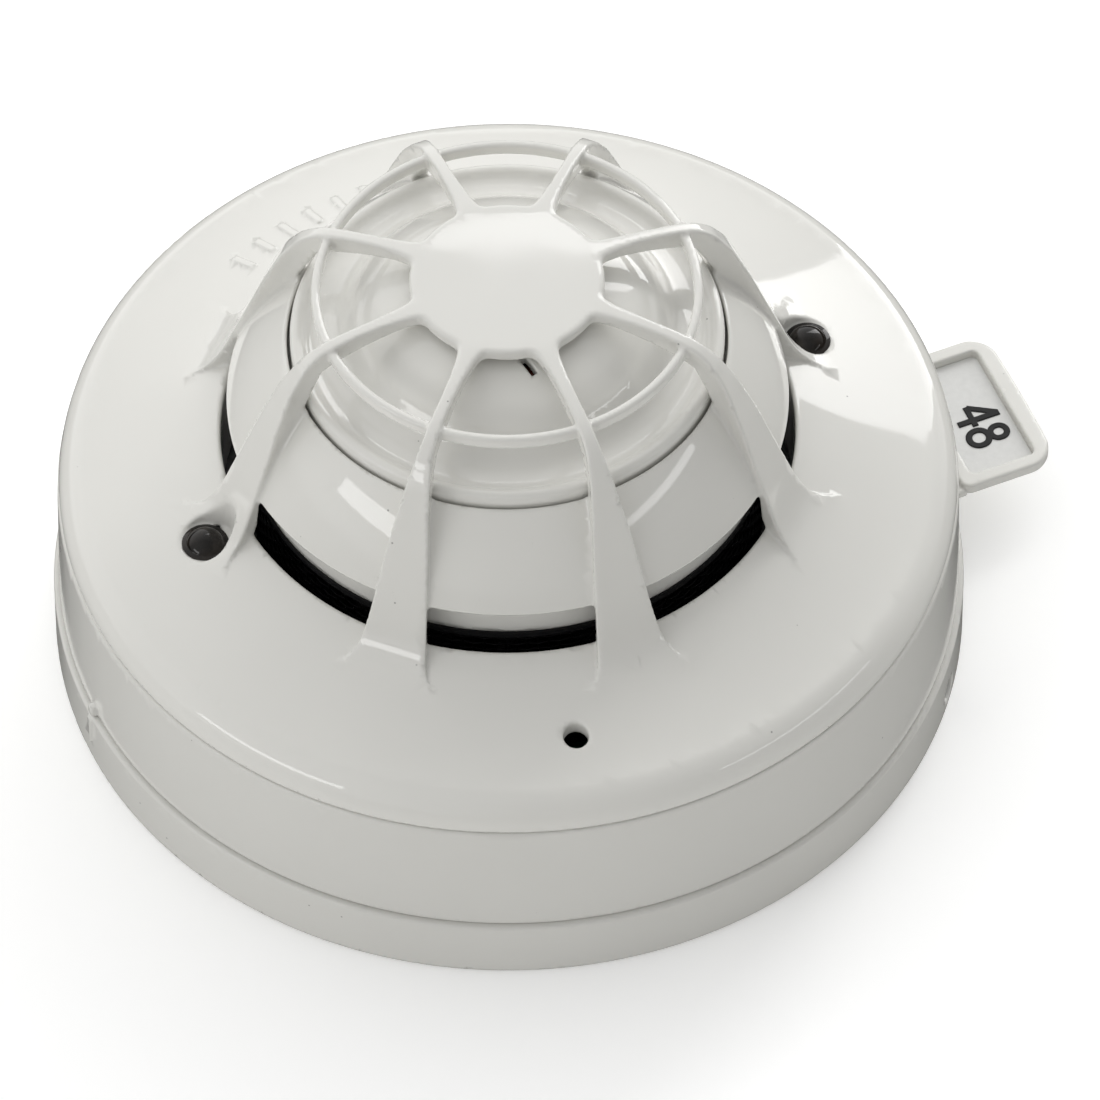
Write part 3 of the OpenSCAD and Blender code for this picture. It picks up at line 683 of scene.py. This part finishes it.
def woven_screen(name, radius, z0, z1):
    """Wire cloth bent into a ring: upright wires and hoops that pass over and under each other."""
    uprights, hoops, wire, sides = 150, 11, 0.11, 5
    pitch = 2 * math.pi / uprights
    rise = (z1 - z0) / (hoops + 1)
    paths = []
    for i in range(uprights):
        z = np.linspace(z0, z1, 2 * (hoops + 1) + 1)
        r = radius + wire * np.sin(math.pi * (z - z0) / rise + math.pi * (i + 0.5))
        paths.append((np.stack([r * math.cos(pitch * i), r * math.sin(pitch * i), z], 1), False))
    for j in range(1, hoops + 1):
        turn = np.arange(2 * uprights) * pitch / 2
        r = radius - wire * np.sin(turn / pitch * math.pi + math.pi * (j + 0.5))
        level = np.full(len(turn), z0 + j * rise)
        paths.append((np.stack([r * np.cos(turn), r * np.sin(turn), level], 1), True))
    points, faces = [], []
    for path, closed in paths:
        before, after = np.roll(path, 1, 0), np.roll(path, -1, 0)
        if not closed:
            before[0], after[-1] = path[0], path[-1]
        along = after - before
        along /= np.linalg.norm(along, axis=1)[:, None]
        out = path * (1, 1, 0)
        out /= np.linalg.norm(out, axis=1)[:, None]
        side = np.cross(along, out)
        start, count = len(points), len(path)
        for k in range(count):
            for s in range(sides):
                angle = 2 * math.pi * s / sides
                around = out[k] * math.cos(angle) + side[k] * math.sin(angle)
                points.append((path[k] + wire * around) * MM)
        for k in range(count if closed else count - 1):
            a, b = start + k * sides, start + (k + 1) % count * sides
            faces += [(a + s, a + (s + 1) % sides, b + (s + 1) % sides, b + s) for s in range(sides)]
        if not closed:
            faces.append(tuple(start + s for s in reversed(range(sides))))
            faces.append(tuple(start + (count - 1) * sides + s for s in range(sides)))
    mesh = bpy.data.meshes.new(name)
    mesh.from_pydata(points, [], faces)
    weld(mesh)
    mesh.shade_smooth()
    return place(name, mesh)


# ---------------------------------------------------------------- materials


class Surface:
    """A material in the making. Sizes are in millimetres on the object, so grain keeps its true scale."""

    def __init__(self, name, roughness, metallic=0.0, ior=1.5):
        self.material = bpy.data.materials.new(name)
        self.material.use_nodes = True
        self.nodes = self.material.node_tree.nodes
        self.links = self.material.node_tree.links
        self.shader = self.nodes["Principled BSDF"]
        self.set(Roughness=roughness, Metallic=metallic, IOR=ior)
        self.where = self.nodes.new("ShaderNodeTexCoord").outputs["Object"]

    def set(self, **values):
        for name, value in values.items():
            self.shader.inputs[name.replace("_", " ")].default_value = value

    def texture(self, kind, size, stretch=(1, 1, 1), **settings):
        """Texture whose features are about that size on the object."""
        scale = self.nodes.new("ShaderNodeMapping")
        scale.inputs["Scale"].default_value = stretch
        self.links.new(self.where, scale.inputs["Vector"])
        node = self.nodes.new(kind)
        node.inputs["Scale"].default_value = 1 / (size * MM)
        for name, value in settings.items():
            node.inputs[name].default_value = value
        self.links.new(scale.outputs["Vector"], node.inputs["Vector"])
        return node

    def noise(self, size, detail=2.0, stretch=(1, 1, 1)):
        return self.texture("ShaderNodeTexNoise", size, stretch, Detail=detail).outputs["Fac"]

    def remap(self, value, low, high, to_low=0.0, to_high=1.0):
        """Value stretched from one range to another and held inside it."""
        node = self.nodes.new("ShaderNodeMapRange")
        for name, number in zip(("From Min", "From Max", "To Min", "To Max"), (low, high, to_low, to_high)):
            node.inputs[name].default_value = number
        self.links.new(value, node.inputs["Value"])
        return node.outputs["Result"]

    def times(self, a, b):
        node = self.nodes.new("ShaderNodeMath")
        node.operation = "MULTIPLY"
        self.links.new(a, node.inputs[0])
        self.links.new(b, node.inputs[1])
        return node.outputs["Value"]

    def mixed(self, factor, first, second):
        """Colour that goes from first to second as the factor goes from 0 to 1."""
        node = self.nodes.new("ShaderNodeMix")
        node.data_type = "RGBA"
        self.links.new(factor, node.inputs["Factor"])
        for name, colour in (("A", first), ("B", second)):
            socket = next(s for s in node.inputs if s.name == name and s.type == "RGBA")
            if isinstance(colour, tuple):
                socket.default_value = (*colour, 1)
            else:
                self.links.new(colour, socket)
        return next(s for s in node.outputs if s.type == "RGBA")

    def colour(self, socket):
        self.links.new(socket, self.shader.inputs["Base Color"])

    def roughness(self, socket):
        self.links.new(socket, self.shader.inputs["Roughness"])

    def bump(self, *layers):
        """Relief from pairs of a height socket and its depth in millimetres."""
        normal = None
        for height, depth in layers:
            node = self.nodes.new("ShaderNodeBump")
            node.inputs["Strength"].default_value = 1
            node.inputs["Distance"].default_value = depth * MM
            self.links.new(height, node.inputs["Height"])
            if normal:
                self.links.new(normal, node.inputs["Normal"])
            normal = node.outputs["Normal"]
        self.links.new(normal, self.shader.inputs["Normal"])

    def specks(self, spacing, size, share):
        """Small dots, one in some of the cells, as a factor."""
        cells = self.texture("ShaderNodeTexVoronoi", spacing)
        dot = self.remap(cells.outputs["Distance"], size * 0.6, size, 1, 0)
        split = self.nodes.new("ShaderNodeSeparateColor")
        self.links.new(cells.outputs["Color"], split.inputs["Color"])
        chosen = self.remap(split.outputs["Red"], 1 - share, 1 - share + 0.01)
        return self.times(dot, chosen)


def shaded(colour, share):
    """Colour made darker, as a share of its brightness."""
    return tuple(c * share for c in colour)


def moulded_plastic(name, colour, gloss=0.13, spread=0.05, grain=0.0004, dust=0.3):
    """Glossy injection moulding: faint flow mottling, orange peel, uneven gloss and a little dust."""
    s = Surface(name, gloss, ior=1.5)
    flow = s.remap(s.noise(30, 3), 0.35, 0.65)
    body = s.mixed(flow, shaded(colour, 0.975), colour)
    dirt = s.specks(3.1, 0.045, dust)
    s.colour(s.mixed(dirt, body, shaded(colour, 0.45)))
    s.roughness(s.remap(s.noise(7, 4), 0.3, 0.7, gloss - spread / 2, gloss + spread))
    s.bump((s.noise(4.5, 1), 0.0016), (s.noise(0.35, 2), grain))
    return s.material


def brushed_metal(name, colour, roughness, grain=(1, 1, 14), stain=0.8):
    """Plated or drawn metal with fine lines along one direction and duller patches."""
    s = Surface(name, roughness, metallic=1.0)
    patch = s.remap(s.noise(3, 4), 0.35, 0.7)
    s.colour(s.mixed(patch, colour, shaded(colour, stain)))
    lines = s.noise(0.5, 3, grain)
    s.roughness(s.remap(lines, 0.3, 0.7, roughness * 0.75, roughness * 1.4))
    s.bump((lines, 0.003))
    return s.material


def matt_body(name, colour, roughness, grain_size, grain_depth, contrast=0.75):
    """Matt part whose colour and surface carry a fine grain."""
    s = Surface(name, roughness)
    s.colour(s.mixed(s.remap(s.noise(grain_size * 6, 3), 0.35, 0.65), shaded(colour, contrast), colour))
    fine = s.noise(grain_size, 3)
    s.roughness(s.remap(fine, 0.3, 0.7, roughness * 0.85, min(1, roughness * 1.15)))
    s.bump((fine, grain_depth))
    return s.material


def label_film():
    """Printed film on card, with the faint tooth of paper under it."""
    s = Surface("label_film", 0.4)
    s.colour(s.mixed(s.remap(s.noise(0.8, 4), 0.3, 0.7), (0.68, 0.68, 0.665), (0.72, 0.72, 0.705)))
    s.roughness(s.remap(s.noise(0.3, 3), 0.3, 0.7, 0.34, 0.5))
    s.bump((s.noise(0.25, 3), 0.004))
    return s.material


def digit_ink():
    """Printed ink with pinholes and a slightly uneven film."""
    s = Surface("digit_ink", 0.45, ior=1.3)
    holes = s.specks(0.5, 0.12, 0.25)
    s.colour(s.mixed(holes, (0.006, 0.006, 0.006), (0.04, 0.04, 0.038)))
    s.roughness(s.remap(s.noise(0.5, 3), 0.3, 0.7, 0.28, 0.48))
    s.bump((s.noise(0.3, 3), 0.003))
    return s.material


def board_laminate():
    """Green solder mask over glass cloth, with the tracks showing through as a lighter, raised pattern."""
    s = Surface("board_laminate", 0.3)
    tracks = s.texture("ShaderNodeTexVoronoi", 4.2, (1, 1, 0.01))
    tracks.distance = "MANHATTAN"
    line = s.remap(tracks.outputs["Distance"], 0.42, 0.46, 0, 1)
    cloth = s.noise(0.7, 2)
    s.colour(s.mixed(line, s.mixed(cloth, (0.015, 0.085, 0.03), (0.02, 0.11, 0.04)), (0.05, 0.2, 0.09)))
    s.roughness(s.remap(cloth, 0.3, 0.7, 0.24, 0.4))
    s.bump((line, 0.03), (cloth, 0.006))
    return s.material


def smoked_lens():
    """Dark glossy light guide, a little lighter and browner in patches where it is thin."""
    s = Surface("smoked_lens", 0.05, ior=1.45)
    s.set(Specular_IOR_Level=0.32)
    s.colour(s.mixed(s.remap(s.noise(1.6, 2), 0.35, 0.65), (0.008, 0.007, 0.006), (0.022, 0.018, 0.015)))
    s.roughness(s.remap(s.noise(0.8, 2), 0.3, 0.7, 0.035, 0.08))
    s.bump((s.noise(1.5, 1), 0.0012))
    return s.material


def thermistor_glass():
    """Red-brown glass bead."""
    s = Surface("thermistor_glass", 0.12, ior=1.52)
    s.colour(s.mixed(s.remap(s.noise(0.6, 3), 0.35, 0.65), (0.16, 0.035, 0.02), (0.26, 0.07, 0.04)))
    s.roughness(s.remap(s.noise(0.3, 2), 0.3, 0.7, 0.08, 0.2))
    s.bump((s.noise(0.7, 2), 0.01))
    return s.material


WARM_WHITE = (0.73, 0.723, 0.686)
MATERIALS = {
    "cover_plastic": moulded_plastic("cover_plastic", WARM_WHITE, 0.045, 0.02),
    # white_plastic is the cover's white made 7% darker for the base and case: partly their own greyer tone,
    # partly painted shade that dims their side walls, which the lit floor brightens.
    "white_plastic": moulded_plastic("white_plastic", shaded(WARM_WHITE, 0.93), 0.12, 0.05),
    "cap_plastic": moulded_plastic("cap_plastic", WARM_WHITE, 0.05, 0.03, dust=0.15),
    "card_plastic": moulded_plastic("card_plastic", WARM_WHITE, 0.22, 0.08, 0.001),
    "label_film": label_film(),
    "digit_ink": digit_ink(),
    "spring_steel": brushed_metal("spring_steel", (0.66, 0.66, 0.65), 0.24),
    "plated_brass": brushed_metal("plated_brass", (0.78, 0.62, 0.33), 0.28),
    "zinc_steel": brushed_metal("zinc_steel", (0.58, 0.59, 0.60), 0.32, (1, 1, 3), 0.7),
    "tinned_steel": brushed_metal("tinned_steel", (0.7, 0.7, 0.7), 0.3, (6, 1, 1)),
    "seal_rubber": matt_body("seal_rubber", (0.02, 0.02, 0.02), 0.7, 0.3, 0.01),
    "board_laminate": board_laminate(),
    "black_epoxy": matt_body("black_epoxy", (0.018, 0.018, 0.02), 0.55, 0.15, 0.008),
    "capacitor_sleeve": matt_body("capacitor_sleeve", (0.03, 0.05, 0.14), 0.3, 0.6, 0.004),
    "component_body": matt_body("component_body", (0.2, 0.13, 0.07), 0.45, 0.25, 0.004, 0.5),
    "led_body": matt_body("led_body", (0.75, 0.7, 0.45), 0.35, 0.3, 0.003, 0.9),
    "smoked_lens": smoked_lens(),
    "led_lens": matt_body("led_lens", (0.05, 0.07, 0.13), 0.12, 0.5, 0.001, 0.8),
    "black_chamber": matt_body("black_chamber", (0.008, 0.008, 0.009), 0.5, 0.35, 0.012),
    "mesh_wire": brushed_metal("mesh_wire", (0.015, 0.015, 0.016), 0.5),
    "thermistor_glass": thermistor_glass(),
    "wire_copper": brushed_metal("wire_copper", (0.8, 0.45, 0.26), 0.25),
}

# ---------------------------------------------------------------- pieces


def finish_piece(piece, body, node):
    """The piece stands for a CAD node, rides on its body and takes the node's material slot."""
    slot = SLOT_OF[node]
    piece.data.materials.clear()
    piece.data.materials.append(MATERIALS[slot])
    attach(piece, body)
    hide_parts(node)


SLOT_OF = {part["node"]: part["material_slot"] for part in frame["record"]["subparts"]}

# Name of the piece, its field, its body, the CAD node that it stands for, and the size of its mesh cells
MOULDINGS = (
    ("cover_moulding", top_cover, "head", "top_cover", 0.28),
    ("bell_cap", chamber_cap, "head", "chamber_cap", 0.32),
    ("case_moulding", detector_case, "head", "detector_case", 0.38),
    ("base_moulding", mounting_base, "base", "mounting_base", 0.33),
    ("card_moulding", address_card, "card", "address_card", 0.2),
    ("printed_number", address_number, "card", "address_number", 0.06),
    ("thermistor_bead", thermistor, "head", "thermistor", 0.12),
)
for name, field, body, node, step in MOULDINGS:
    low, high = box_mm(node)
    finish_piece(moulding(name, field, low, high, step), body, node)

lenses = [lathe("lens_%d" % i, lens_outline(), azimuth, LENS_AT) for i, azimuth in enumerate(LENS_AZ)]
for lens in lenses:
    finish_piece(lens, "head", "light_pipes")
low, high = box_mm("insect_mesh")
finish_piece(woven_screen("wire_screen", high[1] - 0.25, low[2], high[2]), "head", "insect_mesh")

for name, node in frame["nodes"].items():
    node.data.materials.clear()
    node.data.materials.append(MATERIALS[SLOT_OF[name]])

# ---------------------------------------------------------------- camera and studio

CAM_AZ = -90.7
CAM_EL = 51.33
CAM_ROLL = -0.18
CAM_DISTANCE = 1.5263
CAM_LENS = 458.4
AIM = Vector((0, 0, 0.025))
SLIDE_RIGHT = 0.004555
SLIDE_UP = -0.008957


def towards(azimuth, elevation):
    """Unit vector in a direction given in degrees."""
    az, el = math.radians(azimuth), math.radians(elevation)
    return Vector((math.cos(az) * math.cos(el), math.sin(az) * math.cos(el), math.sin(el)))


def add_camera():
    """Camera that looks at the aim point, slid sideways in its own plane."""
    az, roll = math.radians(CAM_AZ), math.radians(CAM_ROLL)
    back = towards(CAM_AZ, CAM_EL)
    level = Vector((-math.sin(az), math.cos(az), 0))
    steep = back.cross(level)
    right = level * math.cos(roll) + steep * math.sin(roll)
    up = steep * math.cos(roll) - level * math.sin(roll)
    data = bpy.data.cameras.new("camera")
    data.sensor_width = 36
    data.lens = CAM_LENS
    data.clip_end = 20
    camera = bpy.data.objects.new("camera", data)
    bpy.context.scene.collection.objects.link(camera)
    turn = Matrix((right, up, back)).transposed().to_4x4()
    stand = AIM + back * CAM_DISTANCE + right * SLIDE_RIGHT + up * SLIDE_UP
    camera.matrix_world = Matrix.Translation(stand) @ turn
    bpy.context.scene.camera = camera


def glow(name, strength):
    """White light of one strength."""
    material = bpy.data.materials.new(name)
    material.use_nodes = True
    nodes = material.node_tree.nodes
    nodes.clear()
    emission = nodes.new("ShaderNodeEmission")
    emission.inputs["Strength"].default_value = strength
    output = nodes.new("ShaderNodeOutputMaterial")
    material.node_tree.links.new(emission.outputs["Emission"], output.inputs["Surface"])
    return material


def softbox(name, distance, strength, corners):
    """Glowing panel whose corners lie in directions given as azimuth and elevation."""
    points = [AIM + distance * towards(azimuth, elevation) for azimuth, elevation in corners]
    mesh = bpy.data.meshes.new(name)
    mesh.from_pydata(points, [], [tuple(range(len(points)))])
    mesh.materials.append(glow(name, strength))
    panel = place(name, mesh)
    panel.visible_camera = False


def patch(azimuth, elevation, half_width, half_height):
    """Corners of a panel round a direction."""
    ends = ((-1, -1), (1, -1), (1, 1), (-1, 1))
    return [(azimuth + x * half_width, elevation + y * half_height) for x, y in ends]


def swept(centre, half_width, half_height, last):
    """Corners along an ellipse, from the left of its centre up to an angle in degrees."""
    angles = np.radians(np.linspace(0, last, 8))
    return [(centre[0] - half_width * math.cos(t), centre[1] + half_height * math.sin(t)) for t in angles]


def add_world(sky):
    """Sky whose brightness is a sum of soft lobes, dark below the horizon."""
    world = bpy.data.worlds.new("studio")
    bpy.context.scene.world = world
    world.use_nodes = True
    nodes, links = world.node_tree.nodes, world.node_tree.links
    where = nodes.new("ShaderNodeTexCoord").outputs["Generated"]

    def lobe(direction, weight):
        dot = nodes.new("ShaderNodeVectorMath")
        dot.operation = "DOT_PRODUCT"
        dot.inputs[1].default_value = direction
        links.new(where, dot.inputs[0])
        node = nodes.new("ShaderNodeMapRange")
        node.inputs["To Max"].default_value = weight
        links.new(dot.outputs["Value"], node.inputs["Value"])
        return node.outputs["Result"]

    def combine(operation, a, b):
        node = nodes.new("ShaderNodeMath")
        node.operation = operation
        links.new(a, node.inputs[0])
        links.new(b, node.inputs[1])
        return node.outputs["Value"]

    total = lobe(*sky[0])
    for direction, weight in sky[1:]:
        total = combine("ADD", total, lobe(direction, weight))
    total = combine("MULTIPLY", total, lobe((0, 0, 12), 1))
    nodes["Background"].inputs["Color"].default_value = (1, 1, 1, 1)
    links.new(total, nodes["Background"].inputs["Strength"])


def add_floor(strength):
    """Pale floor that glossy rays pass, so that walls keep the dark edges that a light tent gives."""
    mesh = bpy.data.meshes.new("floor")
    half, z = 3.0, -0.0002
    corners = [(-half, -half, z), (half, -half, z), (half, half, z), (-half, half, z)]
    mesh.from_pydata(corners, [], [(0, 1, 2, 3)])
    s = Surface("floor", 0.9)
    s.colour(s.mixed(s.noise(300, 2), (0.93, 0.93, 0.925), (0.95, 0.95, 0.945)))
    s.set(Emission_Color=(1, 1, 1, 1), Emission_Strength=strength)
    mesh.materials.append(s.material)
    floor = place("floor", mesh)
    floor.visible_glossy = False


# The key light is a strip that rises from its foot and bends over to a tip
KEY_FOOT = [(67, 3), (48, 3)]
KEY_TIP = (90, 50.4)
KEY_OUTER = swept((100, 25), 51, 29, 45)
KEY_INNER = swept((94, 10), 27, 39.4, 90)

# Name of each light, its distance, its strength and the directions of its corners, as azimuth and elevation
LIGHTS = (
    ("key_light", 1.6, 5.4, KEY_FOOT + KEY_OUTER + [KEY_TIP] + KEY_INNER[::-1]),
    ("left_light", 1.2, 5.0, [(-161, 14), (-126, 13.5), (-126, 22), (-161, 20.5)]),
    ("right_light", 1.2, 4.0, patch(-25, 18, 20, 1.5)),
    ("back_left_light", 1.3, 1.4, patch(120, 35, 20, 12)),
)
# Directions of the sky's lobes, and their weights
SKY = (
    ((0, 0, 1), 0.42),
    ((0, 1, 0), 1.3),
    ((0, -1, 0), 0.04),
    ((-1, 0, 0), 0.42),
    ((-0.5, -0.5, 0.7), 0.3),
)
add_camera()
add_world(SKY)
add_floor(0.2)
for light in LIGHTS:
    softbox(*light)
bpy.context.scene.view_settings.view_transform = "Standard"
